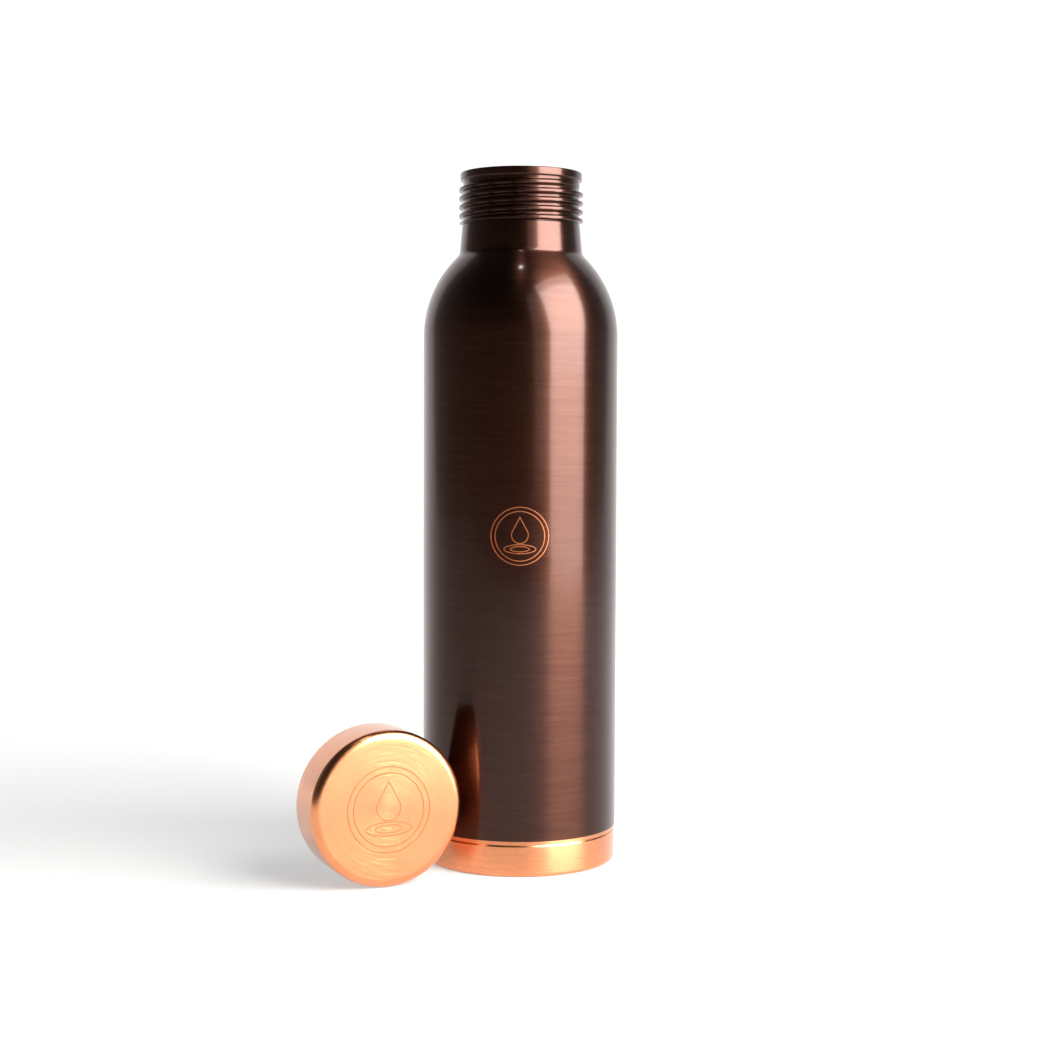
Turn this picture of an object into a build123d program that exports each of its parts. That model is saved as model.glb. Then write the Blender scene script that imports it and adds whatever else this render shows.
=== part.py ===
"""Copper water bottle with its screw cap taken off and stood on edge beside it.

The bottle stands on the XY plane with its axis on +Z, and its front faces -Y.
The cap stands on the rim of its wall, to the left of the bottle's front.
"""
from build123d import *
import math
import os

# ---- bottle shell (all sizes in millimetres) -----------------------------------
bottle_height = 260.0
body_diameter = 73.4
sheet = 0.6
shell_foot = 13.2
foot_edge_round = 0.25
shoulder_radius = 41.6
collar_length = 11.0
collar_blend = 2.2
collar_foot_flare = 1.4
collar_top_flare = 0.4

# ---- neck, hemmed rim and rolled thread ----------------------------------------
neck_diameter = 43.7
neck_length = 19.8
hem_height = 3.1
hem_thickness = 1.1
hem_round = 0.5
mouth_bell = 0.25
thread_pitch = 3.25
thread_rise = 1.65
thread_foot_drop = 0.3
thread_hem_gap = 2.4
thread_root_width = 2.3
thread_crest_width = 0.9
thread_round = 0.35
thread_start_bearing = 110.0
groove_crest_thinning = 0.3
groove_round = 0.12
groove_lead = 0.02
fuse_overlap = 0.2

# ---- base cup ------------------------------------------------------------------
base_sheet = 0.8
band_inset = 0.3
band_height = 11.2
band_shoulder = 0.5
band_shoulder_round = 0.25
band_corner = 1.5
skirt_height = 24.0
foot_ring_width = 3.6
dish_rise = 3.0
dish_slope = 3.6
dish_round = 1.8
braze_gap = 0.05
braze_leg = 1.2

# ---- cap -----------------------------------------------------------------------
cap_height = 19.0
cap_edge_round = 3.0
cap_sheet = 0.6
cap_hollow_gap = 3.25
sleeve_sheet = 0.6
sleeve_corner = 0.9
flange_round = 0.5
flange_root_round = 0.3
rim_edge_round = 0.2
seal_thickness = 1.5
seal_bore = 34.0
seal_face_gap = 0.05
seal_side_gap = 0.3
thread_crest_gap = 0.35
sleeve_thread_rise = 0.8
sleeve_thread_lead = 1.9
sleeve_thread_seal_gap = 3.9
sleeve_tip_width = 1.3
sleeve_root_width = 2.1
sleeve_tip_round = 0.25

# ---- where the cap stands ------------------------------------------------------
cap_face_turn = 24.0
cap_touch_bearing = 220.4
cap_stand_gap = 0.3

# ---- engraved mark: two rings round a water drop over its ripples ----------------
bottle_mark_height = 125.0
bottle_mark_diameter = 21.3
cap_mark_diameter = 31.2
mark_line = 0.3
mark_depth = 0.12
mark_ring_step = 0.07
drop_tip = 0.34
drop_middle = 0.02
drop_bulb = 0.15
ripple_level = -0.22
ripple_widths = (0.17, 0.28)
ripple_squash = 0.3
mark_standoff = 1.0

# ---- values worked out from the sizes above --------------------------------------
body_radius = body_diameter / 2
shell_bore_radius = body_radius - sheet
neck_radius = neck_diameter / 2
mouth_radius = neck_radius - sheet
hem_radius = neck_radius + hem_thickness
thread_radius = neck_radius + thread_rise
collar_top_height = bottle_height - neck_length
thread_low = collar_top_height - thread_foot_drop
thread_high = bottle_height - hem_height - thread_hem_gap
thread_turns = (thread_high - thread_low) / thread_pitch
collar_foot_height = collar_top_height - collar_length
collar_top_radius = neck_radius + collar_top_flare
collar_foot_radius = neck_radius + collar_foot_flare
shoulder_centre_radius = body_radius - shoulder_radius
shoulder_reach = collar_foot_radius - shoulder_centre_radius
shoulder_start = collar_foot_height - math.sqrt(shoulder_radius**2 - shoulder_reach**2)
skirt_radius = shell_bore_radius - braze_gap
band_radius = body_radius - band_inset
sleeve_bore_radius = thread_radius + thread_crest_gap
sleeve_radius = sleeve_bore_radius + sleeve_sheet
cap_bore_radius = sleeve_radius + cap_hollow_gap
cap_radius = cap_bore_radius + cap_sheet
sleeve_top = cap_height - cap_sheet - braze_gap
sleeve_ceiling = sleeve_top - sleeve_sheet
seal_top = sleeve_ceiling - seal_face_gap
seal_bottom = seal_top - seal_thickness
seal_radius = sleeve_bore_radius - seal_side_gap
sleeve_thread_length = seal_bottom - sleeve_thread_seal_gap - sleeve_thread_lead


def bearing_vector(bearing):
    """Unit vector in the floor plane at a bearing in degrees from +X."""
    angle = math.radians(bearing)
    return Vector(math.cos(angle), math.sin(angle), 0)


# The cap's face looks along cap_axis, and its open end looks the other way.
# Its open rim comes nearest to the bottle at cap_touch.
cap_axis = bearing_vector(cap_face_turn - 90)
cap_side = bearing_vector(cap_face_turn)
cap_touch = bearing_vector(cap_touch_bearing) * (body_radius + cap_stand_gap)
cap_foot = cap_touch - cap_side * cap_radius + Vector(0, 0, cap_radius)
cap_plane = Plane(origin=cap_foot, x_dir=cap_side, z_dir=cap_axis)
cap_section = Plane(origin=cap_foot, x_dir=cap_side, z_dir=cap_side.cross(cap_axis))
cap_centre_line = Axis(cap_foot, cap_axis)


def thread_path(plane, radius, height, turns, bearing):
    """Right-hand helix about the plane's axis, from a height and a bearing."""
    return plane.offset(height).rotated((0, 0, bearing)) * Helix(
        pitch=thread_pitch, height=thread_pitch * turns, radius=radius
    )


def thread_section(plane, path, rise, root_width, tip_width, tip_round):
    """Ridge profile at a helix's start, its root sunk in the wall.

    A positive rise stands out from the axis and a negative one stands in to it.
    """
    start = path @ 0
    across = start - plane.origin
    outward = (across - plane.z_dir * across.dot(plane.z_dir)).normalized()
    sunk = math.copysign(fuse_overlap, -rise)
    flank_slope = (root_width - tip_width) / 2 / abs(rise)
    sunk_half_width = root_width / 2 + flank_slope * fuse_overlap
    with BuildSketch(Plane(start, x_dir=outward, z_dir=outward.cross(plane.z_dir))) as ridge:
        with BuildLine():
            FilletPolyline(
                (sunk, -sunk_half_width),
                (rise, -tip_width / 2),
                (rise, tip_width / 2),
                (sunk, sunk_half_width),
                radius=tip_round,
            )
            Line((sunk, sunk_half_width), (sunk, -sunk_half_width))
        make_face()
    return ridge.sketch


def mark_drawing(diameter):
    """Line drawing of one diameter: two rings, a water drop and its ripples."""
    outer = diameter / 2
    tip = Vector(0, drop_tip * diameter)
    middle = Vector(0, drop_middle * diameter)
    bulb = drop_bulb * diameter
    lean = math.acos(bulb / (tip - middle).length)
    right = middle + Vector(bulb * math.sin(lean), bulb * math.cos(lean))
    left = middle + Vector(-bulb * math.sin(lean), bulb * math.cos(lean))
    with BuildSketch() as drop:
        with BuildLine():
            Line(tip, right)
            ThreePointArc(right, middle - Vector(0, bulb), left)
            Line(left, tip)
        make_face()
        offset(amount=-mark_line, mode=Mode.SUBTRACT)
    with BuildSketch() as mark:
        for radius in (outer, outer - mark_ring_step * diameter):
            add(Circle(radius, mode=Mode.PRIVATE) - Circle(radius - mark_line, mode=Mode.PRIVATE))
        add(drop.sketch)
        with Locations((0, ripple_level * diameter)):
            for share in ripple_widths:
                wide = share * diameter
                high = wide * ripple_squash
                ripple = Ellipse(wide, high, mode=Mode.PRIVATE)
                add(ripple - Ellipse(wide - mark_line, high - mark_line, mode=Mode.PRIVATE))
    return mark.sketch


# ---- cutter for the mark on the body: the drawing, kept to the wall's outer skin ----
with BuildPart() as body_mark:
    mark_origin = (0, -body_radius - mark_standoff, bottle_mark_height)
    with BuildSketch(Plane(origin=mark_origin, z_dir=(0, -1, 0))):
        add(mark_drawing(bottle_mark_diameter))
    extrude(amount=-body_radius)
    with Locations((0, 0, bottle_mark_height)):
        Cylinder(
            radius=body_radius - mark_depth,
            height=bottle_mark_diameter + 2 * mark_standoff,
            mode=Mode.SUBTRACT,
        )

# ---- body shell: drawn tube with shoulder, collar, threaded neck and hemmed rim ----
ridge_path = thread_path(Plane.XY, neck_radius, thread_low, thread_turns, thread_start_bearing)
groove_path = thread_path(
    Plane.XY,
    mouth_radius,
    thread_low + groove_lead * thread_pitch,
    thread_turns - 2 * groove_lead,
    thread_start_bearing + groove_lead * 360,
)
with BuildPart() as body_shell:
    with BuildSketch(Plane.XZ):
        with BuildLine():
            wall = Line((body_radius, shell_foot), (body_radius, shoulder_start))
            shoulder = RadiusArc(
                wall @ 1, (collar_foot_radius, collar_foot_height), -shoulder_radius
            )
            collar = Line(shoulder @ 1, (collar_top_radius, collar_top_height))
            step = Line(collar @ 1, (neck_radius, collar_top_height + collar_top_flare))
            Line(step @ 1, (neck_radius, bottle_height))
            offset(amount=sheet, side=Side.LEFT)
        shell_face = make_face()
        crease = shell_face.vertices().sort_by_distance((collar_foot_radius, collar_foot_height))
        fillet(crease[0], radius=collar_blend)
        hem_centre = (mouth_radius + hem_radius) / 2
        with Locations((hem_centre, bottle_height - hem_height / 2)):
            Rectangle(hem_radius - mouth_radius, hem_height)
        with Locations((mouth_radius + mouth_bell / 2, bottle_height - hem_height / 2)):
            Rectangle(mouth_bell, hem_height, mode=Mode.SUBTRACT)
    revolve(axis=Axis.Z)
    rim_edges = body_shell.edges().filter_by(GeomType.CIRCLE).group_by(Axis.Z)[-1]
    hem_foot = body_shell.edges().filter_by(GeomType.CIRCLE).sort_by(
        lambda edge: abs(edge.center().Z - bottle_height + hem_height)
        + abs(edge.radius - hem_radius)
    )[0]
    fillet(rim_edges + hem_foot, radius=hem_round)
    foot_edge = body_shell.edges().filter_by(GeomType.CIRCLE).group_by(Axis.Z)[0].sort_by(
        SortBy.RADIUS
    )[-1]
    fillet(foot_edge, radius=foot_edge_round)
    sweep(
        thread_section(
            Plane.XY, ridge_path, thread_rise, thread_root_width, thread_crest_width, thread_round
        ),
        path=ridge_path,
        is_frenet=True,
    )
    sweep(
        thread_section(
            Plane.XY,
            groove_path,
            thread_rise,
            thread_root_width - sheet,
            thread_crest_width - groove_crest_thinning,
            groove_round,
        ),
        path=groove_path,
        is_frenet=True,
        mode=Mode.SUBTRACT,
    )
    add(body_mark.part, mode=Mode.SUBTRACT)

# ---- base cup: bare copper cup, its skirt lapped up inside the shell ---------------
with BuildPart() as base_cup:
    with BuildSketch(Plane.XZ):
        with BuildLine():
            dish_radius = band_radius - foot_ring_width - dish_slope
            skirt_bore = skirt_radius - base_sheet
            FilletPolyline(
                (skirt_radius, skirt_height),
                (skirt_radius, band_height + band_shoulder),
                (band_radius, band_height),
                (band_radius, 0),
                (band_radius - foot_ring_width, 0),
                (dish_radius, dish_rise),
                (0, dish_rise),
                radius=(
                    band_shoulder,
                    band_shoulder_round,
                    band_corner,
                    dish_round,
                    dish_round + base_sheet,
                ),
            )
            FilletPolyline(
                (0, dish_rise + base_sheet),
                (dish_radius + base_sheet / 2, dish_rise + base_sheet),
                (band_radius - foot_ring_width + base_sheet / 2, base_sheet),
                (skirt_bore, base_sheet),
                (skirt_bore, skirt_height),
                radius=(dish_round, dish_round, band_corner - base_sheet),
            )
            Line((skirt_bore, skirt_height), (skirt_radius, skirt_height))
            Line((0, dish_rise), (0, dish_rise + base_sheet))
        make_face()
    revolve(axis=Axis.Z)

# ---- base braze ring: fillet of filler metal over the skirt's top edge -------------
with BuildPart() as base_braze_ring:
    with BuildSketch(Plane.XZ):
        with BuildLine():
            Polyline(
                (shell_bore_radius, skirt_height),
                (shell_bore_radius, skirt_height + braze_leg),
                (shell_bore_radius - base_sheet, skirt_height),
                close=True,
            )
        make_face()
    revolve(axis=Axis.Z)

# ---- cap shell: outer copper cup with a rounded edge ------------------------------
with BuildPart() as cap_shell:
    with BuildSketch(cap_section):
        with BuildLine():
            FilletPolyline(
                (0, cap_height),
                (cap_radius, cap_height),
                (cap_radius, 0),
                (cap_bore_radius, 0),
                (cap_bore_radius, cap_height - cap_sheet),
                (0, cap_height - cap_sheet),
                radius=(cap_edge_round, rim_edge_round, rim_edge_round, cap_edge_round - cap_sheet),
            )
            Line((0, cap_height - cap_sheet), (0, cap_height))
        make_face()
    revolve(axis=cap_centre_line)
    with BuildSketch(cap_plane.offset(cap_height)):
        add(mark_drawing(cap_mark_diameter))
    extrude(amount=-mark_depth, mode=Mode.SUBTRACT)

# ---- cap thread sleeve: inner copper cup with a flange and the female thread --------
sleeve_path = thread_path(
    cap_plane, sleeve_bore_radius, sleeve_thread_lead, sleeve_thread_length / thread_pitch, 0
)
with BuildPart() as cap_thread_sleeve:
    with BuildSketch(cap_section):
        with BuildLine():
            flange_radius = cap_bore_radius - braze_gap
            FilletPolyline(
                (0, sleeve_top),
                (sleeve_radius, sleeve_top),
                (sleeve_radius, sleeve_sheet),
                (flange_radius, sleeve_sheet),
                (flange_radius, 0),
                (sleeve_bore_radius, 0),
                (sleeve_bore_radius, sleeve_ceiling),
                (0, sleeve_ceiling),
                radius=(
                    sleeve_corner,
                    flange_root_round,
                    0,
                    0,
                    flange_round,
                    sleeve_corner - sleeve_sheet,
                ),
            )
            Line((0, sleeve_ceiling), (0, sleeve_top))
        make_face()
    revolve(axis=cap_centre_line)
    sweep(
        thread_section(
            cap_plane,
            sleeve_path,
            -sleeve_thread_rise,
            sleeve_root_width,
            sleeve_tip_width,
            sleeve_tip_round,
        ),
        path=sleeve_path,
        is_frenet=True,
    )

# ---- cap seal: flat silicone ring against the sleeve's ceiling ---------------------
with BuildPart() as cap_seal:
    with BuildSketch(cap_plane.offset(seal_bottom)):
        Circle(seal_radius)
        Circle(seal_bore / 2, mode=Mode.SUBTRACT)
    extrude(amount=seal_thickness)

# ---- cap braze ring: fillet of filler metal behind the flange ----------------------
with BuildPart() as cap_braze_ring:
    with BuildSketch(cap_section):
        with BuildLine():
            Polyline(
                (cap_bore_radius, sleeve_sheet),
                (cap_bore_radius - braze_leg, sleeve_sheet),
                (cap_bore_radius, sleeve_sheet + braze_leg),
                close=True,
            )
        make_face()
    revolve(axis=cap_centre_line)

os.makedirs("parts", exist_ok=True)
body_shell.part.label = "body_shell"
export_step(body_shell.part, "parts/body_shell.step")
base_cup.part.label = "base_cup"
export_step(base_cup.part, "parts/base_cup.step")
base_braze_ring.part.label = "base_braze_ring"
export_step(base_braze_ring.part, "parts/base_braze_ring.step")
cap_shell.part.label = "cap_shell"
export_step(cap_shell.part, "parts/cap_shell.step")
cap_thread_sleeve.part.label = "cap_thread_sleeve"
export_step(cap_thread_sleeve.part, "parts/cap_thread_sleeve.step")
cap_seal.part.label = "cap_seal"
export_step(cap_seal.part, "parts/cap_seal.step")
cap_braze_ring.part.label = "cap_braze_ring"
export_step(cap_braze_ring.part, "parts/cap_braze_ring.step")
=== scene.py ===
import math

import bpy
from mathutils import Matrix, Vector


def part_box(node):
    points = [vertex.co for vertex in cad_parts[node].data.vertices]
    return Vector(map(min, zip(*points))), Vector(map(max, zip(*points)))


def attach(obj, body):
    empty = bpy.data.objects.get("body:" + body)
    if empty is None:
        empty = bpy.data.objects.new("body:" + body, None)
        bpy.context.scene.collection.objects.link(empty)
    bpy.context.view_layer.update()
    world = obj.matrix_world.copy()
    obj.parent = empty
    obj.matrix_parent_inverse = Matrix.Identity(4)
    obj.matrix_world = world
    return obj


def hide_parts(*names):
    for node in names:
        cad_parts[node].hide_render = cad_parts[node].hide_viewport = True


bl_info = {
    "name": "Copper water bottle",
    "version": (1, 0, 0),
    "blender": (4, 5, 0),
    "location": "View3D > Sidebar > Copper",
    "description": "Builds a lacquered copper bottle with a bare copper base and screw cap on a CAD frame",
    "category": "Add Mesh",
}

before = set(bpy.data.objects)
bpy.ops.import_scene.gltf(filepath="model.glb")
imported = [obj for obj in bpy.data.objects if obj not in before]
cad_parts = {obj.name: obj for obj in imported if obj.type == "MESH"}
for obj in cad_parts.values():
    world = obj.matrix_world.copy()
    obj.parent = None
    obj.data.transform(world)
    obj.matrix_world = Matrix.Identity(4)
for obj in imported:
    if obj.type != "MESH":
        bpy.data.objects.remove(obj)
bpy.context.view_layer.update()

MM = 0.001
TURN = 2 * math.pi
MERGE = 0.002 * MM

shell_low, shell_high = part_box("body_shell")
BODY_RADIUS = shell_high.x
BAND_STEP = 0.3 * MM

# The thread starts this many degrees round from the right, and its ends fade over these shares of a turn.
THREAD_START = 110
THREAD_TURNS = 4.72
THREAD_RUN_IN = 0.22
THREAD_RUN_OUT = 0.35
THREAD_FOOT_DROP = 0.3 * MM

# How the mark's parts compare with its outer diameter.
INNER_RING = 0.43
RIPPLES = (0.17, 0.28)
RIPPLE_FLATTENING = 0.3
RIPPLE_DROP = 0.22
DROP_BULB = 0.15
DROP_TIP = 0.34
DROP_MIDDLE = 0.02
MARK_MARGIN = 0.56

# Where the blend between shoulder and collar starts and ends, as a share of its length.
BLEND_SHARE = 0.9

# Columns round the lathed pieces.
WALL_COLUMNS = 384
NECK_COLUMNS = 360
CUP_COLUMNS = 288

# The camera stands in front of the bottle, a little above half its height.
CAMERA_PLACE = (0, -0.7103, 0.1649)
CAMERA_PITCH = math.radians(2.889)
CAMERA_ROLL = math.radians(0.211)
CAMERA_VIEW = math.radians(31.154)
LIGHT_TARGET = (0, 0, 0.13)

# The floor rises behind the object in a round sweep.
FLOOR_WIDTH = 5.0
FLOOR_DEPTH = 3.1
FLOOR_MIDDLE = 0.35
BACKDROP_HEIGHT = 3.0
BACKDROP_LEAN = 0.05
SWEEP_ROUND = 0.9

# The cap's face looks along CAP_AXIS. Its frame has the open end's centre as origin.
CAP_TURN = math.radians(24)
CAP_SIDE = Vector((math.cos(CAP_TURN), math.sin(CAP_TURN), 0))
CAP_AXIS = Vector((math.sin(CAP_TURN), -math.cos(CAP_TURN), 0))
CAP_UP = CAP_AXIS.cross(CAP_SIDE)


def extent(node, way):
    """Lowest and highest place of a CAD node's points along a direction."""
    places = [vertex.co.dot(way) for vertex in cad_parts[node].data.vertices]
    return min(places), max(places)


cap_ends, cap_sides, cap_levels = (extent("cap_shell", way) for way in (CAP_AXIS, CAP_SIDE, CAP_UP))
CAP_HEIGHT = cap_ends[1] - cap_ends[0]
CAP_RADIUS = (cap_sides[1] - cap_sides[0]) / 2
CAP_FOOT = CAP_AXIS * cap_ends[0] + CAP_SIDE * sum(cap_sides) / 2 + CAP_UP * sum(cap_levels) / 2
CAP_FRAME = Matrix.Translation(CAP_FOOT) @ Matrix((CAP_SIDE, CAP_UP, CAP_AXIS)).transposed().to_4x4()


# ---- properties -------------------------------------------------------------------


def length(label, text, millimetres):
    """A length property with a default given in millimetres."""
    return bpy.props.FloatProperty(
        name=label, description=text, default=millimetres * MM, min=0, unit="LENGTH", precision=5
    )


def colour(label, text, value):
    """A colour property with a default of three linear shares."""
    return bpy.props.FloatVectorProperty(
        name=label, description=text, default=value, size=3, min=0, max=1, subtype="COLOR"
    )


class CopperBottleSizes(bpy.types.PropertyGroup):
    body_radius: length("Body radius", "Outer radius of the straight wall", BODY_RADIUS / MM)
    height: length("Height", "From the surface it stands on to the rim", shell_high.z / MM)
    sheet: length("Sheet", "Thickness of the copper sheet", 0.6)
    shell_foot: length("Shell foot", "Height of the lacquered shell's lower edge", shell_low.z / MM)
    shoulder_radius: length("Shoulder radius", "Radius of the shoulder's arc", 41.6)
    collar_length: length("Collar length", "Plain collar under the thread", 11)
    collar_blend: length("Collar blend", "Fillet between shoulder and collar", 2.2)
    collar_foot_radius: length("Collar foot radius", "Collar where it meets the shoulder", 23.25)
    collar_top_radius: length("Collar top radius", "Collar under the neck's step", 22.25)
    neck_radius: length("Neck radius", "Neck between the thread's turns", 21.85)
    neck_length: length("Neck length", "From the collar's top edge to the rim", 19.8)
    hem_height: length("Hem height", "Height of the rolled rim", 3.1)
    hem_thickness: length("Hem thickness", "How far the rolled rim stands out", 1.1)
    hem_round: length("Hem round", "Edge round of the rolled rim", 0.5)
    thread_pitch: length("Thread pitch", "Rise of the thread in one turn", 3.25)
    thread_rise: length("Thread rise", "How far the thread stands out", 1.6)
    thread_crest: length("Thread crest", "Half the width of the thread's full height", 0.42)
    thread_root: length("Thread root", "Half the width of the thread at its foot", 1.28)
    band_radius: length("Base band radius", "Outer radius of the bare base", (BODY_RADIUS - BAND_STEP) / MM)
    band_height: length("Base band height", "Height of the bare base under the shell", 11.2)
    base_sheet: length("Base sheet", "Thickness of the base cup's sheet", 0.8)
    base_ring: length("Base ring", "From the band in to the edge of the ring it stands on", 3.6)
    base_dish: length("Base dish", "From the band in to the foot of the raised middle", 7.2)
    base_rise: length("Base rise", "How far the middle of the underside is raised", 3)
    skirt_top: length("Skirt top", "Height of the top of the skirt inside the shell", 24)
    skirt_gap: length("Skirt gap", "Gap between the skirt and the shell", 0.05)


class CopperCapSizes(bpy.types.PropertyGroup):
    radius: length("Cap radius", "Outer radius of the cap", CAP_RADIUS / MM)
    height: length("Cap height", "From the open end to the face", CAP_HEIGHT / MM)
    edge_round: length("Edge round", "Round between the cap's wall and face", 3)
    sheet: length("Cap sheet", "Thickness of the cap's sheet", 0.6)


class CopperMarkSizes(bpy.types.PropertyGroup):
    line: length("Line width", "Width of the engraved lines", 0.3)
    depth: length("Line depth", "Depth of the engraved lines", 0.12)
    bottle_diameter: length("Bottle mark", "Outer ring of the mark on the wall", 21.3)
    bottle_height: length("Bottle mark height", "Height of its centre", 125)
    cap_diameter: length("Cap mark", "Outer ring of the mark on the cap", 31.2)


class CopperFinishes(bpy.types.PropertyGroup):
    lacquer: colour("Lacquer", "Brown lacquered copper", (0.04, 0.0125, 0.0065))
    lacquer_light: colour("Lacquer streaks", "Lighter brushing in the lacquer", (0.082, 0.033, 0.022))
    copper: colour("Copper", "Bare copper", (0.9, 0.345, 0.15))
    copper_dark: colour("Tarnished copper", "Bare copper where it has dulled", (0.62, 0.21, 0.09))
    engraved: colour("Engraved line", "Copper laid bare by the engraving", (0.52, 0.19, 0.075))
    cap_engraved: colour("Cap's engraved line", "Darker copper in the cap's engraving", (0.2, 0.05, 0.018))
    floor: colour("Floor", "Pale floor and backdrop", (0.33, 0.33, 0.325))


PROPERTY_GROUPS = {
    "copper_bottle": CopperBottleSizes,
    "copper_cap": CopperCapSizes,
    "copper_mark": CopperMarkSizes,
    "copper_finish": CopperFinishes,
}


# ---- modelling helpers --------------------------------------------------------------


def deselect_all():
    """Leaves object mode with nothing selected, as every new piece starts."""
    if bpy.context.object and bpy.context.object.mode != "OBJECT":
        bpy.ops.object.mode_set(mode="OBJECT")
    bpy.ops.object.select_all(action="DESELECT")


def activate(piece):
    """Selects one piece alone."""
    deselect_all()
    piece.select_set(True)
    bpy.context.view_layer.objects.active = piece


def rounded(corners):
    """Points of an outline from corners (radius, height, round): each corner with a round becomes an arc."""
    points = []
    for index, (radius, height, round_off) in enumerate(corners):
        here = Vector((radius, height))
        if not round_off:
            points.append(here)
            continue
        before = Vector(corners[index - 1][:2]) - here
        after = Vector(corners[(index + 1) % len(corners)][:2]) - here
        half = before.angle(after) / 2
        reach = round_off / math.tan(half)
        middle = (before.normalized() + after.normalized()).normalized()
        centre = here + middle * round_off / math.sin(half)
        start = here + before.normalized() * reach - centre
        sweep = start.angle_signed(here + after.normalized() * reach - centre)
        steps = max(4, round(abs(sweep) * 8))
        for step in range(steps + 1):
            turn = -sweep * step / steps
            cosine, sine = math.cos(turn), math.sin(turn)
            across = start.x * cosine - start.y * sine
            along = start.x * sine + start.y * cosine
            points.append(centre + Vector((across, along)))
    return points


def arc(centre, radius, low, high, steps):
    """Points of an arc about a centre (radius, height), between two angles above the horizontal."""
    turns = [low + (high - low) * step / steps for step in range(steps + 1)]
    middle = Vector(centre)
    return [middle + Vector((radius * math.cos(turn), radius * math.sin(turn))) for turn in turns]


def rows(radius, low, high, count):
    """Evenly spaced points up or down a straight wall."""
    return [Vector((radius, low + (high - low) * step / count)) for step in range(count + 1)]


def blend_curve(start, start_way, end, end_way, steps):
    """A smooth curve that leaves one point along a direction and reaches another along its own."""
    reach = (end - start).length * 0.5
    first = start + start_way.normalized() * reach
    second = end - end_way.normalized() * reach
    points = []
    for step in range(1, steps + 1):
        t = step / steps
        points.append(
            start * (1 - t) ** 3 + first * 3 * t * (1 - t) ** 2 + second * 3 * t * t * (1 - t) + end * t**3
        )
    return points


def lathe(name, outline, segments):
    """Draws an outline point by point in the XZ plane and spins it into a closed shape about Z."""
    deselect_all()
    first = outline[0]
    on_axis = first.x < MERGE and outline[-1].x < MERGE
    bpy.ops.mesh.primitive_plane_add(size=MM)
    piece = bpy.context.object
    piece.name = name
    piece.data.name = name
    bpy.ops.object.mode_set(mode="EDIT")
    bpy.ops.mesh.select_all(action="SELECT")
    bpy.ops.mesh.merge(type="CENTER")
    bpy.ops.transform.translate(value=(first.x, 0, first.y))
    here = first
    for point in outline[1:] + ([] if on_axis else [first]):
        if (point - here).length < MERGE:
            continue
        step = point - here
        bpy.ops.mesh.extrude_vertices_move(TRANSFORM_OT_translate={"value": (step.x, 0, step.y)})
        here = point
    bpy.ops.mesh.select_all(action="SELECT")
    bpy.ops.mesh.remove_doubles(threshold=MERGE)
    bpy.ops.mesh.spin(steps=segments, angle=TURN, center=(0, 0, 0), axis=(0, 0, 1))
    bpy.ops.mesh.select_all(action="SELECT")
    bpy.ops.mesh.remove_doubles(threshold=MERGE)
    bpy.ops.mesh.normals_make_consistent(inside=False)
    bpy.ops.object.mode_set(mode="OBJECT")
    if not piece.data.polygons:
        raise RuntimeError(f"{name} has no faces")
    return piece


def smooth(piece, degrees=35):
    """Smooth shading, with edges sharper than this left crisp."""
    activate(piece)
    bpy.ops.object.shade_smooth_by_angle(angle=math.radians(degrees))


def place(piece, frame_matrix):
    """Moves a finished piece into a frame and leaves its object at the origin."""
    piece.matrix_world = frame_matrix
    activate(piece)
    bpy.ops.object.transform_apply(location=True, rotation=True, scale=True)


def cut(piece, cutter):
    """Takes one solid out of another, its cut faces getting the cutter's material slot."""
    activate(piece)
    modifier = piece.modifiers.new("Cut", "BOOLEAN")
    modifier.operation = "DIFFERENCE"
    modifier.solver = "EXACT"
    modifier.object = cutter
    bpy.ops.object.modifier_apply(modifier=modifier.name)
    bpy.ops.object.mode_set(mode="EDIT")
    bpy.ops.mesh.select_all(action="SELECT")
    bpy.ops.mesh.remove_doubles(threshold=MERGE)
    bpy.ops.mesh.dissolve_degenerate(threshold=MERGE)
    bpy.ops.object.mode_set(mode="OBJECT")
    remove(cutter)


def flip_outward(piece):
    """Turns every face of a closed piece outwards."""
    activate(piece)
    bpy.ops.object.mode_set(mode="EDIT")
    bpy.ops.mesh.select_all(action="SELECT")
    bpy.ops.mesh.normals_make_consistent(inside=False)
    bpy.ops.object.mode_set(mode="OBJECT")


def select_where(piece, wanted):
    """Selects the vertices whose place passes a test, and the edges between them."""
    if piece.mode != "OBJECT":
        bpy.ops.object.mode_set(mode="OBJECT")
    mesh = piece.data
    for face in mesh.polygons:
        face.select = False
    for vertex in mesh.vertices:
        vertex.select = wanted(vertex.co)
    for edge in mesh.edges:
        edge.select = all(mesh.vertices[index].select for index in edge.vertices)
    bpy.ops.object.mode_set(mode="EDIT")


def remove(piece):
    """Deletes a helper piece."""
    activate(piece)
    bpy.ops.object.delete()


def band_from_loop(line, depth):
    """Fills the selected loop, insets it by the line's width and raises the band left into a closed solid."""
    bpy.ops.mesh.edge_face_add()
    bpy.ops.mesh.inset(thickness=line, depth=0)
    bpy.ops.mesh.delete(type="ONLY_FACE")
    bpy.ops.mesh.select_all(action="SELECT")
    bpy.ops.mesh.extrude_region_move(TRANSFORM_OT_translate={"value": (0, 0, depth)})
    bpy.ops.mesh.select_all(action="SELECT")
    bpy.ops.mesh.normals_make_consistent(inside=False)
    bpy.ops.object.mode_set(mode="OBJECT")


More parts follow.
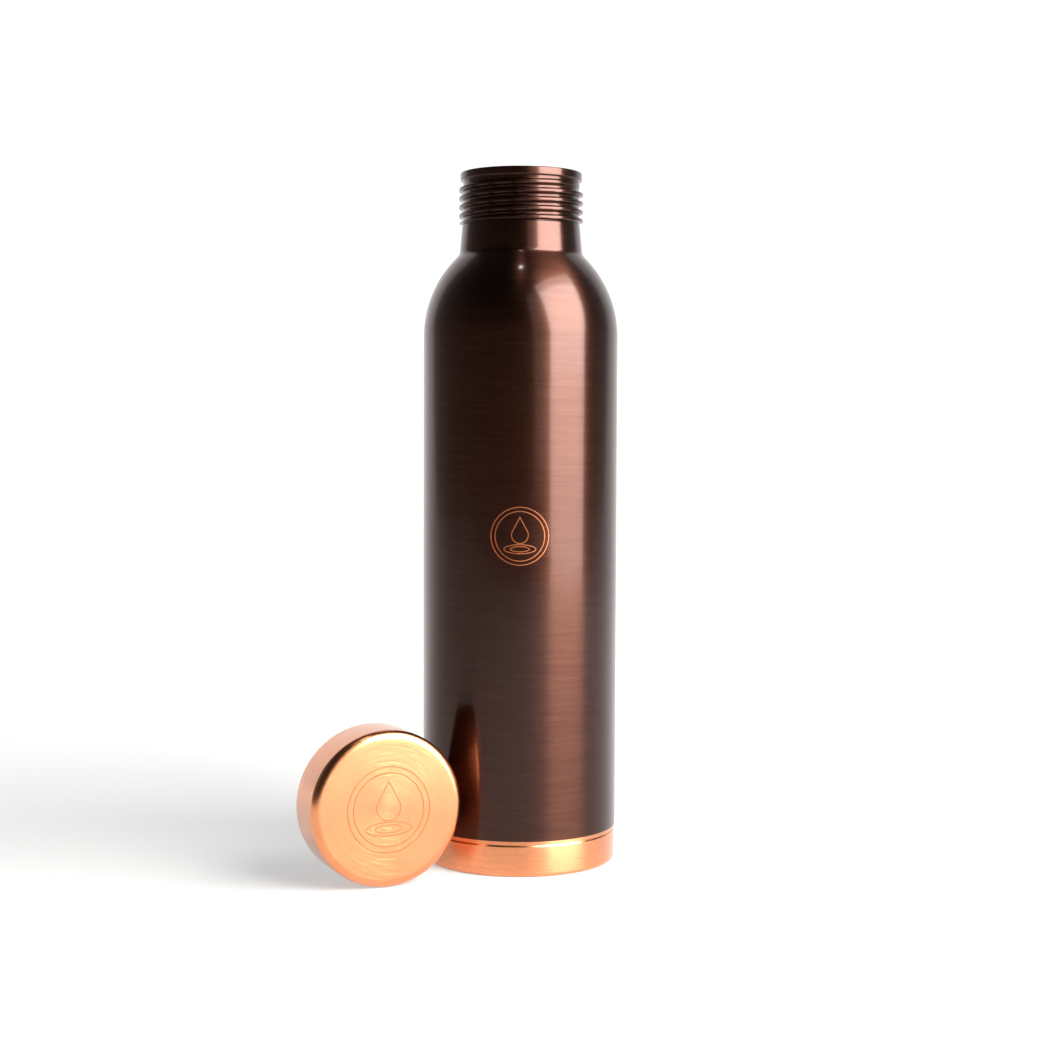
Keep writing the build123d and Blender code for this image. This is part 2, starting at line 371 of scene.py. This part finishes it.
def drop_loop(diameter):
    """A circle whose top is drawn up into a point, as a closed loop that is left selected."""
    bulb, tip, middle = DROP_BULB * diameter, DROP_TIP * diameter, DROP_MIDDLE * diameter
    bpy.ops.mesh.primitive_circle_add(vertices=96, radius=bulb, location=(0, middle, 0))
    drop = bpy.context.object
    bpy.ops.object.transform_apply(location=True, rotation=False, scale=False)
    tangent_height = middle + bulb * bulb / (tip - middle)
    select_where(drop, lambda point: point.y > tangent_height)
    bpy.ops.mesh.merge(type="CENTER")
    bpy.ops.object.mode_set(mode="OBJECT")
    top = max(vertex.co.y for vertex in drop.data.vertices)
    select_where(drop, lambda point: point.y == top)
    bpy.ops.transform.translate(value=(0, tip - top, 0))
    bpy.ops.mesh.select_all(action="SELECT")
    return drop


def mark_cutter(diameter, line, depth):
    """The mark as a flat solid on the XY plane: two rings, a water drop and the ripples under it."""
    bands = []
    for radius in (diameter / 2, diameter * INNER_RING):
        deselect_all()
        bpy.ops.mesh.primitive_circle_add(vertices=192, radius=radius)
        bpy.ops.object.mode_set(mode="EDIT")
        bpy.ops.mesh.select_all(action="SELECT")
        band_from_loop(line, depth)
        bands.append(bpy.context.object)
    for half_width in (share * diameter for share in RIPPLES):
        deselect_all()
        bpy.ops.mesh.primitive_circle_add(vertices=128, radius=half_width)
        bpy.ops.object.mode_set(mode="EDIT")
        bpy.ops.mesh.select_all(action="SELECT")
        bpy.ops.transform.resize(value=(1, RIPPLE_FLATTENING, 1), center_override=(0, 0, 0))
        bpy.ops.transform.translate(value=(0, -RIPPLE_DROP * diameter, 0))
        band_from_loop(line, depth)
        bands.append(bpy.context.object)
    deselect_all()
    drop_loop(diameter)
    band_from_loop(line, depth)
    bands.append(bpy.context.object)
    deselect_all()
    for band in bands:
        band.select_set(True)
    bpy.context.view_layer.objects.active = bands[0]
    bpy.ops.object.join()
    return bpy.context.object


def thread_height(bearing, height, sizes, foot):
    """Share of the thread's full rise at a bearing in degrees and a height on the neck."""
    pitch, crest, root = sizes.thread_pitch, sizes.thread_crest, sizes.thread_root
    best = 0.0
    for turn in range(-1, math.ceil(THREAD_TURNS) + 2):
        along = (bearing - THREAD_START) / 360 + turn
        if not 0 <= along <= THREAD_TURNS:
            continue
        off = abs(height - foot - pitch * along)
        share = 1 - min(1, max(0, (off - crest) / (root - crest)))
        share = share * share * (3 - 2 * share)
        grow = min(1, along / THREAD_RUN_IN)
        fade = min(1, (THREAD_TURNS - along) / THREAD_RUN_OUT)
        share *= math.sin(grow * math.pi / 2) * math.sin(fade * math.pi / 2)
        best = max(best, share)
    return best


def paint(piece, *finishes):
    """Gives a piece its materials, the first on all its faces."""
    piece.data.materials.clear()
    for finish in finishes:
        piece.data.materials.append(finish)


def mark_faces(cutter, *finishes):
    """Gives a cutter the same slots as its piece, with all its faces in the second."""
    paint(cutter, *finishes)
    for face in cutter.data.polygons:
        face.material_index = 1


# ---- shader helpers -------------------------------------------------------------------


class Shade:
    """A node socket that takes part in sums, and adds the Math nodes it needs."""

    def __init__(self, nodes, socket):
        self.nodes = nodes
        self.socket = socket

    def math(self, operation, first, second=None):
        """One Math node."""
        inputs = [first] if second is None else [first, second]
        return self.nodes.add("ShaderNodeMath", {"operation": operation}, dict(enumerate(inputs)))

    def __add__(self, other):
        return self.math("ADD", self, other)

    def __radd__(self, other):
        return self.math("ADD", other, self)

    def __sub__(self, other):
        return self.math("SUBTRACT", self, other)

    def __rsub__(self, other):
        return self.math("SUBTRACT", other, self)

    def __mul__(self, other):
        return self.math("MULTIPLY", self, other)

    def __rmul__(self, other):
        return self.math("MULTIPLY", other, self)

    def __truediv__(self, other):
        return self.math("DIVIDE", self, other)

    def __rtruediv__(self, other):
        return self.math("DIVIDE", other, self)

    def __pow__(self, other):
        return self.math("POWER", self, other)


class Nodes:
    """Adds nodes to one tree."""

    def __init__(self, tree):
        self.tree = tree
        tree.nodes.clear()

    def add(self, kind, settings=None, inputs=None, output=0):
        """One node: its settings first, then its sockets by name or number, and one of its outputs back."""
        node = self.tree.nodes.new(kind)
        for name, value in (settings or {}).items():
            if name == "stops":
                self.set_stops(node.color_ramp, value)
            else:
                setattr(node, name, value)
        for name, value in (inputs or {}).items():
            if isinstance(value, Shade):
                self.tree.links.new(value.socket, node.inputs[name])
            else:
                node.inputs[name].default_value = value
        if not len(node.outputs):
            return None
        return Shade(self, node.outputs[output])

    @staticmethod
    def set_stops(ramp, stops):
        """Gives a ramp its stops, each a position and a grey value."""
        while len(ramp.elements) < len(stops):
            ramp.elements.new(1)
        for element, (position, value) in zip(ramp.elements, stops):
            element.position = position
            element.color = (value, value, value, 1)

    def mix(self, share, first, second):
        """A colour between two colours."""
        settings = {"data_type": "RGBA"}
        ends = [end if isinstance(end, Shade) else (*end, 1) for end in (first, second)]
        return self.add("ShaderNodeMix", settings, {0: share, 6: ends[0], 7: ends[1]}, output=2)

    def ramp(self, value, stops):
        """A value turned through a ramp of grey stops."""
        return self.add("ShaderNodeValToRGB", {"stops": stops}, {0: value})

    def vector(self, operation, first, second=None):
        """One Vector Math node."""
        inputs = {0: first} if second is None else {0: first, 1: second}
        return self.add("ShaderNodeVectorMath", {"operation": operation}, inputs)

    def split(self, point):
        """The three parts of a vector."""
        node = self.add("ShaderNodeSeparateXYZ", inputs={0: point}).socket.node
        return [Shade(self, part) for part in node.outputs]

    def position(self, place=None):
        """Object coordinates, seen from a frame where one is given."""
        point = self.add("ShaderNodeTexCoord", output=3)
        if place is None:
            return point
        return self.add(
            "ShaderNodeMapping",
            {"vector_type": "TEXTURE"},
            {0: point, 1: place.to_translation(), 2: place.to_euler()},
        )

    def noise(self, point, scale, detail=2.0, roughness=0.5, w=None):
        """Clouds at a scale, of four dimensions where a fourth coordinate is given."""
        inputs = {"Vector": point, "Scale": scale, "Detail": detail, "Roughness": roughness}
        if w is None:
            return self.add("ShaderNodeTexNoise", inputs=inputs)
        return self.add("ShaderNodeTexNoise", {"noise_dimensions": "4D"}, {**inputs, "W": w})

    def strokes(self, point, spacing, stroke):
        """Brushing round a frame's Z axis: lines this far apart, and shorter for a larger stroke."""
        along = self.split(point)[2]
        flat = self.vector("MULTIPLY", point, (1, 1, 0))
        distance = self.add("ShaderNodeVectorMath", {"operation": "LENGTH"}, {0: flat}, output=1)
        bearing = self.vector("NORMALIZE", flat)
        east, north, _ = self.split(bearing)
        spread = self.add(
            "ShaderNodeCombineXYZ", inputs={0: distance / spacing, 1: along / spacing, 2: east * stroke}
        )
        return self.noise(spread, scale=1, detail=3, roughness=0.6, w=north * stroke)

    def finish(self, surface):
        """Ends the material in its output."""
        self.add("ShaderNodeOutputMaterial", inputs={0: surface})


def new_finish(name):
    """An empty material and its nodes."""
    finish = bpy.data.materials.new(name)
    finish.use_nodes = True
    return finish, Nodes(finish.node_tree)


def lacquered_copper(finishes):
    """Brown lacquer over copper brushed round the bottle's axis."""
    finish, nodes = new_finish("brown_lacquer")
    point = nodes.position()
    fine = nodes.strokes(point, spacing=0.16 * MM, stroke=3)
    broad = nodes.strokes(point, spacing=1.6 * MM, stroke=2)
    clouds = nodes.noise(point, scale=22, detail=3)
    streaks = nodes.ramp(fine * 0.6 + broad * 0.4, [(0.36, 0), (0.68, 1)])
    tone = nodes.mix(streaks * 0.55 + clouds * 0.2, tuple(finishes.lacquer), tuple(finishes.lacquer_light))
    bump = nodes.add(
        "ShaderNodeBump",
        inputs={"Strength": 0.16, "Distance": 0.03 * MM, "Height": fine * 0.8 + broad * 0.5},
    )
    surface = nodes.add(
        "ShaderNodeBsdfPrincipled",
        inputs={
            "Base Color": tone,
            "Metallic": 1,
            "Roughness": 0.29 + 0.08 * broad,
            "Anisotropic": 0.8,
            "Anisotropic Rotation": 0.25,
            "Coat Weight": 0.4,
            "Coat Roughness": 0.12,
            "Normal": bump,
        },
    )
    nodes.finish(surface)
    return finish


def bare_copper(finishes, name, place=None, ring_bump=0.35, roughness=0.27, grain=0.0):
    """Bare copper, brushed in rings round an axis, with tarnish in its streaks."""
    finish, nodes = new_finish(name)
    point = nodes.position(place)
    fine = nodes.strokes(point, spacing=0.14 * MM, stroke=1.4)
    broad = nodes.strokes(point, spacing=1.3 * MM, stroke=1.1)
    clouds = nodes.noise(point, scale=45, detail=4, roughness=0.6)
    dulled = nodes.ramp(fine * 0.3 + broad * 0.3 + clouds * 0.4, [(0.4, 0), (0.66, 1)])
    tone = nodes.mix(dulled * 0.6, tuple(finishes.copper), tuple(finishes.copper_dark))
    bump = nodes.add(
        "ShaderNodeBump",
        inputs={"Strength": ring_bump, "Distance": 0.04 * MM, "Height": fine + broad * 0.8},
    )
    surface = nodes.add(
        "ShaderNodeBsdfPrincipled",
        inputs={
            "Base Color": tone,
            "Metallic": 1,
            "Roughness": roughness - 0.04 + 0.1 * broad,
            "Anisotropic": grain,
            "Anisotropic Rotation": 0.25,
            "Coat Weight": 0.6,
            "Coat Roughness": 0.2,
            "Normal": bump,
        },
    )
    nodes.finish(surface)
    return finish


def engraved_copper(name, bright, dull):
    """Copper at the bottom of the engraved lines, left rough by the tool."""
    finish, nodes = new_finish(name)
    point = nodes.position()
    burr = nodes.noise(point, scale=3500, detail=2)
    tone = nodes.mix(burr, tuple(bright), tuple(dull))
    bump = nodes.add("ShaderNodeBump", inputs={"Strength": 0.5, "Distance": 0.03 * MM, "Height": burr})
    surface = nodes.add(
        "ShaderNodeBsdfPrincipled",
        inputs={"Base Color": tone, "Metallic": 1, "Roughness": 0.42 + 0.1 * burr, "Normal": bump},
    )
    nodes.finish(surface)
    return finish


def braze_filler():
    """Grey-gold filler metal, frozen in small waves."""
    finish, nodes = new_finish("frozen_braze")
    waves = nodes.noise(nodes.position(), scale=420, detail=3)
    tone = nodes.mix(waves, (0.55, 0.43, 0.27), (0.72, 0.62, 0.45))
    bump = nodes.add("ShaderNodeBump", inputs={"Strength": 0.6, "Distance": 0.15 * MM, "Height": waves})
    surface = nodes.add(
        "ShaderNodeBsdfPrincipled",
        inputs={"Base Color": tone, "Metallic": 1, "Roughness": 0.34 + 0.15 * waves, "Normal": bump},
    )
    nodes.finish(surface)
    return finish


def silicone():
    """Milky silicone rubber with a fine moulded grain."""
    finish, nodes = new_finish("milky_silicone")
    grain = nodes.noise(nodes.position(), scale=1800, detail=2)
    tone = nodes.mix(grain, (0.72, 0.71, 0.68), (0.83, 0.82, 0.79))
    bump = nodes.add("ShaderNodeBump", inputs={"Strength": 0.25, "Distance": 0.02 * MM, "Height": grain})
    surface = nodes.add(
        "ShaderNodeBsdfPrincipled",
        inputs={"Base Color": tone, "Roughness": 0.5 + 0.1 * grain, "Normal": bump},
    )
    nodes.finish(surface)
    return finish


def pale_floor(finishes):
    """Matt pale floor with barely visible clouds. It glows with painted light of its own, brighter towards
    the back where it rises behind the object.
    """
    finish, nodes = new_finish("pale_floor")
    point = nodes.position()
    clouds = nodes.noise(point, scale=3, detail=2)
    # Painted light: the floor's own glow, weaker at the front and full towards the back where it rises.
    behind = nodes.ramp(nodes.split(point)[1], [(0.0, 0.6), (0.5, 1.0)])
    pale = tuple(finishes.floor)
    tone = nodes.mix(clouds, pale, tuple(0.97 * share for share in pale))
    surface = nodes.add(
        "ShaderNodeBsdfPrincipled",
        inputs={
            "Base Color": tone,
            "Roughness": 0.85,
            "Specular IOR Level": 0.1,
            # Painted light: this emission makes the floor glow, though it is no lamp.
            "Emission Color": behind,
            "Emission Strength": 0.78,
        },
    )
    nodes.finish(surface)
    return finish


# ---- lamps ------------------------------------------------------------------------


def aim(thing, target):
    """Turns a lamp or camera so that it looks at a point."""
    way = Vector(target) - thing.location
    thing.rotation_euler = way.to_track_quat("-Z", "Y").to_euler()


def toward(azimuth, elevation, distance, target):
    """A point seen from the target to the right of the front by the azimuth, and above by the elevation."""
    side, up = math.radians(azimuth), math.radians(elevation)
    way = Vector((math.sin(side) * math.cos(up), -math.cos(side) * math.cos(up), math.sin(up)))
    return Vector(target) + way * distance


def softbox(name, azimuth, elevation, distance, size, radiance, shape="RECTANGLE"):
    """An area lamp that gives this radiance over its whole face and looks at the middle of the bottle."""
    bpy.ops.object.light_add(type="AREA", location=toward(azimuth, elevation, distance, LIGHT_TARGET))
    lamp = bpy.context.object
    lamp.name = name
    lamp.data.shape = shape
    lamp.data.size = size[0]
    lamp.data.size_y = size[1]
    area = size[0] * size[1] * (math.pi / 4 if shape == "ELLIPSE" else 1)
    lamp.data.energy = radiance * math.pi * area
    lamp.visible_camera = False
    aim(lamp, LIGHT_TARGET)
    return lamp


# ---- operators --------------------------------------------------------------------


class COPPER_OT_finishes(bpy.types.Operator):
    """Make the materials that the pieces share"""

    bl_idname = "copper.finishes"
    bl_label = "Finishes"

    def execute(self, context):
        finishes = context.scene.copper_finish
        lacquered_copper(finishes)
        bare_copper(finishes, "base_copper", ring_bump=0.2, grain=0.7)
        bare_copper(finishes, "cap_copper", CAP_FRAME, ring_bump=1, roughness=0.2)
        bare_copper(finishes, "sleeve_copper", CAP_FRAME, ring_bump=0.25, roughness=0.33)
        engraved_copper("wall_engraving", finishes.engraved, finishes.copper_dark)
        engraved_copper("cap_engraving", finishes.cap_engraved, finishes.engraved)
        braze_filler()
        silicone()
        pale_floor(finishes)
        return {"FINISHED"}


class COPPER_OT_bottle_wall(bpy.types.Operator):
    """Lathe the shell's wall, shoulder and collar and engrave its mark"""

    bl_idname = "copper.bottle_wall"
    bl_label = "Bottle wall"

    def execute(self, context):
        sizes = context.scene.copper_bottle
        mark = context.scene.copper_mark
        body, sheet = sizes.body_radius, sizes.sheet
        collar_top = sizes.height - sizes.neck_length
        collar_foot = collar_top - sizes.collar_length
        centre = body - sizes.shoulder_radius
        reach = sizes.collar_foot_radius - centre
        start = collar_foot - math.sqrt(sizes.shoulder_radius**2 - reach**2)
        lean = math.asin((collar_foot - start) / sizes.shoulder_radius)
        blend = sizes.collar_blend / sizes.shoulder_radius
        outer_arc = arc((centre, start), sizes.shoulder_radius, 0, lean - blend * BLEND_SHARE, 40)
        inner_arc = arc((centre, start), sizes.shoulder_radius - sheet, lean - blend * BLEND_SHARE, 0, 24)
        slope = Vector((sizes.collar_top_radius - sizes.collar_foot_radius, sizes.collar_length)).normalized()
        leave = Vector((sizes.collar_foot_radius, collar_foot)) + slope * sizes.collar_blend * BLEND_SHARE
        throat = blend_curve(outer_arc[-1], outer_arc[-1] - outer_arc[-2], leave, slope, 12)
        inward = Vector((-sheet, 0))
        inner_throat = [point + inward for point in reversed(throat)]
        band_low = mark.bottle_height - mark.bottle_diameter * MARK_MARGIN
        band_high = mark.bottle_height + mark.bottle_diameter * MARK_MARGIN
        foot = rounded(
            [
                (body - sheet, sizes.shell_foot, 0.1 * MM),
                (body, sizes.shell_foot, 0.25 * MM),
                (body, start, 0),
            ]
        )[:-1]
        outline = (
            foot
            + [Vector((body, band_low)), Vector((body, band_high))]
            + outer_arc
            + throat
            + [Vector((sizes.collar_top_radius, collar_top))]
            + [Vector((sizes.neck_radius - 0.1 * MM, collar_top + 0.3 * MM))]
            + [Vector((sizes.neck_radius - sheet, collar_top + 0.3 * MM))]
            + inner_throat
            + inner_arc
        )
        wall = lathe("bottle_wall", outline, WALL_COLUMNS)
        engraved = bpy.data.materials["wall_engraving"]
        lacquer = bpy.data.materials["brown_lacquer"]
        paint(wall, lacquer, engraved)
        cutter = mark_cutter(mark.bottle_diameter, mark.line, body)
        upright = Matrix.Rotation(math.radians(90), 4, "X")
        upright = Matrix.Translation((0, -body - MM, mark.bottle_height)) @ upright
        place(cutter, upright @ Matrix.Diagonal((1, 1, -1, 1)))
        flip_outward(cutter)
        core = lathe(
            "core",
            [
                Vector((0, band_low)),
                Vector((body - mark.depth, band_low)),
                Vector((body - mark.depth, band_high)),
                Vector((0, band_high)),
            ],
            WALL_COLUMNS,
        )
        cut(cutter, core)
        mark_faces(cutter, lacquer, engraved)
        cut(wall, cutter)
        smooth(wall)
        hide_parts("body_shell")
        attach(wall, "bottle")
        return {"FINISHED"}


class COPPER_OT_bottle_neck(bpy.types.Operator):
    """Lathe the neck and its rolled rim and raise the thread on it"""

    bl_idname = "copper.bottle_neck"
    bl_label = "Bottle neck"

    def execute(self, context):
        sizes = context.scene.copper_bottle
        neck, sheet, top = sizes.neck_radius, sizes.sheet, sizes.height
        bore = neck - sheet
        hem = neck + sizes.hem_thickness
        hem_foot = top - sizes.hem_height
        collar_top = top - sizes.neck_length
        round_off = sizes.hem_round
        rim = rounded(
            [
                (neck, hem_foot - 0.2 * MM, 0),
                (neck, hem_foot, 0.12 * MM),
                (hem, hem_foot, round_off),
                (hem, top, round_off),
                (bore + 0.25 * MM, top, round_off),
                (bore + 0.25 * MM, hem_foot, 0),
            ]
        )[1:]
        outline = (
            [Vector((sizes.collar_top_radius - 0.15 * MM, collar_top))]
            + [Vector((neck + 0.05 * MM, collar_top + 0.35 * MM))]
            + rows(neck, collar_top + 0.4 * MM, hem_foot - 0.2 * MM, 84)
            + rim
            + rows(bore, hem_foot - 0.3 * MM, collar_top + 0.2 * MM, 56)
        )
        piece = lathe("bottle_neck", outline, NECK_COLUMNS)
        outside = piece.vertex_groups.new(name="thread_outside")
        inside = piece.vertex_groups.new(name="thread_inside")
        foot = collar_top - THREAD_FOOT_DROP
        for vertex in piece.data.vertices:
            from_axis = vertex.co.to_2d().length
            height = vertex.co.z
            if not collar_top + 0.3 * MM < height < hem_foot - 0.1 * MM:
                continue
            bearing = math.degrees(math.atan2(vertex.co.y, vertex.co.x)) % 360
            share = thread_height(bearing, height, sizes, foot)
            share *= min(1, (height - collar_top - 0.3 * MM) / (0.5 * MM))
            if share > 0:
                group = outside if from_axis > (neck + bore) / 2 else inside
                group.add([vertex.index], share, "REPLACE")
        activate(piece)
        for group, strength in ((outside, 1), (inside, -1)):
            modifier = piece.modifiers.new("Thread", "DISPLACE")
            modifier.vertex_group = group.name
            modifier.strength = strength * sizes.thread_rise
            modifier.mid_level = 0
            bpy.ops.object.modifier_apply(modifier=modifier.name)
        paint(piece, bpy.data.materials["brown_lacquer"])
        smooth(piece, 50)
        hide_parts("body_shell")
        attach(piece, "bottle")
        return {"FINISHED"}


class COPPER_OT_base_cup(bpy.types.Operator):
    """Lathe the bare copper cup that closes the bottle's foot"""

    bl_idname = "copper.base_cup"
    bl_label = "Base cup"

    def execute(self, context):
        sizes = context.scene.copper_bottle
        band, sheet = sizes.band_radius, sizes.base_sheet
        skirt = sizes.body_radius - sizes.sheet - sizes.skirt_gap
        bore = skirt - sheet
        ring, dish = band - sizes.base_ring, band - sizes.base_dish
        rise, skirt_top = sizes.base_rise, sizes.skirt_top
        outline = rounded(
            [
                (0, rise, 0),
                (dish, rise, 2.6 * MM),
                (ring, 0, 1.8 * MM),
                (band, 0, 1.5 * MM),
                (band, sizes.band_height, 0.3 * MM),
                (skirt, sizes.band_height + 0.5 * MM, 0.3 * MM),
                (skirt, skirt_top, 0.1 * MM),
                (bore, skirt_top, 0.1 * MM),
                (bore, sheet, 0.7 * MM),
                (ring + sheet / 2, sheet, 1.8 * MM),
                (dish + sheet / 2, rise + sheet, 1.8 * MM),
                (0, rise + sheet, 0),
            ]
        )
        cup = lathe("base_band", outline, CUP_COLUMNS)
        paint(cup, bpy.data.materials["base_copper"])
        smooth(cup)
        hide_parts("base_cup")
        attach(cup, "bottle")
        return {"FINISHED"}


class COPPER_OT_cap_shell(bpy.types.Operator):
    """Lathe the cap's outer cup, round its edge and engrave its face"""

    bl_idname = "copper.cap_shell"
    bl_label = "Cap shell"

    def execute(self, context):
        sizes = context.scene.copper_cap
        mark = context.scene.copper_mark
        radius, height, sheet, edge = sizes.radius, sizes.height, sizes.sheet, sizes.edge_round
        outline = rounded(
            [
                (0, height - sheet, 0),
                (radius - sheet, height - sheet, edge - sheet),
                (radius - sheet, 0, 0.2 * MM),
                (radius, 0, 0.2 * MM),
                (radius, height - edge - 0.6 * MM, 0),
                (radius, height, edge),
                (radius - edge - 0.6 * MM, height, 0),
                (mark.cap_diameter * MARK_MARGIN, height, 0),
                (0, height, 0),
            ]
        )
        shell = lathe("cap_cup", outline, CUP_COLUMNS)
        copper = bpy.data.materials["cap_copper"]
        engraved = bpy.data.materials["cap_engraving"]
        paint(shell, copper, engraved)
        cutter = mark_cutter(mark.cap_diameter, mark.line, mark.depth + MM)
        place(cutter, Matrix.Translation((0, 0, height - mark.depth)))
        mark_faces(cutter, copper, engraved)
        cut(shell, cutter)
        smooth(shell)
        place(shell, CAP_FRAME)
        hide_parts("cap_shell")
        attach(shell, "cap")
        return {"FINISHED"}


class COPPER_OT_hidden_pieces(bpy.types.Operator):
    """Give the CAD sleeve, seal and braze rings their finishes"""

    bl_idname = "copper.hidden_pieces"
    bl_label = "Sleeve, seal and braze"

    def execute(self, context):
        for node, name in (
            ("cap_thread_sleeve", "sleeve_copper"),
            ("cap_seal", "milky_silicone"),
            ("cap_braze_ring", "frozen_braze"),
            ("base_braze_ring", "frozen_braze"),
        ):
            paint(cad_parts[node], bpy.data.materials[name])
        return {"FINISHED"}


class COPPER_OT_stage(bpy.types.Operator):
    """Set up the pale floor, the soft light and the camera"""

    bl_idname = "copper.stage"
    bl_label = "Stage"

    def execute(self, context):
        scene = context.scene
        scene.view_settings.view_transform = "Standard"
        self.add_floor()
        self.add_world(scene)
        key = softbox("softbox", azimuth=57, elevation=21, distance=1.15, size=(1.0, 1.25), radiance=8.5)
        key.data.color = (1, 0.99, 0.98)
        softbox("softbox_top", azimuth=57, elevation=31, distance=1.1, size=(0.95, 1.1), radiance=8.0)
        softbox("softbox_spill", azimuth=45, elevation=24, distance=1.2, size=(1.4, 1.1), radiance=1.0)
        softbox(
            "ceiling_spot",
            azimuth=0.5,
            elevation=75,
            distance=1.6,
            size=(0.09, 0.09),
            radiance=60.0,
            shape="ELLIPSE",
        )
        self.add_camera(scene)
        return {"FINISHED"}

    @staticmethod
    def add_floor():
        """A floor that sweeps up behind the object."""
        deselect_all()
        bpy.ops.mesh.primitive_plane_add(size=1)
        floor = bpy.context.object
        floor.name = "floor"
        floor.scale = (FLOOR_WIDTH, FLOOR_DEPTH, 1)
        floor.location = (0, FLOOR_MIDDLE, 0)
        bpy.ops.object.transform_apply(location=True, rotation=False, scale=True)
        select_where(floor, lambda point: point.y > 1)
        bpy.ops.mesh.extrude_edges_move(TRANSFORM_OT_translate={"value": (0, BACKDROP_LEAN, BACKDROP_HEIGHT)})
        select_where(floor, lambda point: point.z < MM and point.y > 1)
        bpy.ops.mesh.bevel(offset=SWEEP_ROUND, segments=40)
        bpy.ops.object.mode_set(mode="OBJECT")
        bpy.ops.object.shade_smooth()
        paint(floor, bpy.data.materials["pale_floor"])

    @staticmethod
    def add_world(scene):
        """White surroundings behind the object that grow dim towards the front, and a pale background."""
        world = bpy.data.worlds.new("studio")
        scene.world = world
        world.use_nodes = True
        nodes = Nodes(world.node_tree)
        way = nodes.add("ShaderNodeTexCoord", output=0)
        _, back, up = nodes.split(way)
        depth = nodes.ramp(
            back * 0.5 + 0.5,
            [(0.0, 0.02), (0.25, 0.05), (0.5, 0.14), (0.78, 0.2), (0.9, 0.65), (0.97, 1.5)],
        )
        overhead = nodes.ramp(up, [(0.25, 1.0), (0.75, 0.35)])
        seen = nodes.add("ShaderNodeLightPath")
        dome = nodes.add("ShaderNodeBackground", inputs={0: (1, 1, 0.99, 1), 1: depth * overhead})
        pale = nodes.add("ShaderNodeBackground", inputs={0: (0.95, 0.95, 0.94, 1), 1: 1.0})
        both = nodes.add("ShaderNodeMixShader", inputs={0: seen, 1: dome, 2: pale})
        nodes.add("ShaderNodeOutputWorld", inputs={0: both})

    @staticmethod
    def add_camera(scene):
        """Puts the camera in its place."""
        bpy.ops.object.camera_add()
        camera = bpy.context.object
        camera.name = "camera"
        pitch = Matrix.Rotation(math.radians(90) - CAMERA_PITCH, 4, "X")
        roll = Matrix.Rotation(CAMERA_ROLL, 4, "Z")
        camera.matrix_world = Matrix.Translation(CAMERA_PLACE) @ pitch @ roll
        camera.data.sensor_width = 36
        camera.data.angle = CAMERA_VIEW
        camera.data.clip_start = 0.02
        camera.data.clip_end = 20
        scene.camera = camera


STEPS = (
    COPPER_OT_finishes,
    COPPER_OT_bottle_wall,
    COPPER_OT_bottle_neck,
    COPPER_OT_base_cup,
    COPPER_OT_cap_shell,
    COPPER_OT_hidden_pieces,
    COPPER_OT_stage,
)


class COPPER_PT_panel(bpy.types.Panel):
    """Lists the steps and the sizes and colours they read"""

    bl_idname = "COPPER_PT_panel"
    bl_label = "Copper water bottle"
    bl_space_type = "VIEW_3D"
    bl_region_type = "UI"
    bl_category = "Copper"

    def draw(self, context):
        layout = self.layout
        for step in STEPS:
            layout.operator(step.bl_idname)
        for name, group in PROPERTY_GROUPS.items():
            box = layout.box()
            for value in group.__annotations__:
                box.prop(getattr(context.scene, name), value)


CLASSES = (*PROPERTY_GROUPS.values(), *STEPS, COPPER_PT_panel)


def register():
    """Registers the classes and hangs the settings on the scene."""
    for each in CLASSES:
        bpy.utils.register_class(each)
    for name, group in PROPERTY_GROUPS.items():
        setattr(bpy.types.Scene, name, bpy.props.PointerProperty(type=group))


def unregister():
    """Takes the settings and the classes away again."""
    for name in PROPERTY_GROUPS:
        delattr(bpy.types.Scene, name)
    for each in reversed(CLASSES):
        bpy.utils.unregister_class(each)


def main():
    """Builds every piece and the stage."""
    register()
    for step in STEPS:
        group, name = step.bl_idname.split(".")
        getattr(getattr(bpy.ops, group), name)()


if __name__ == "__main__":
    main()
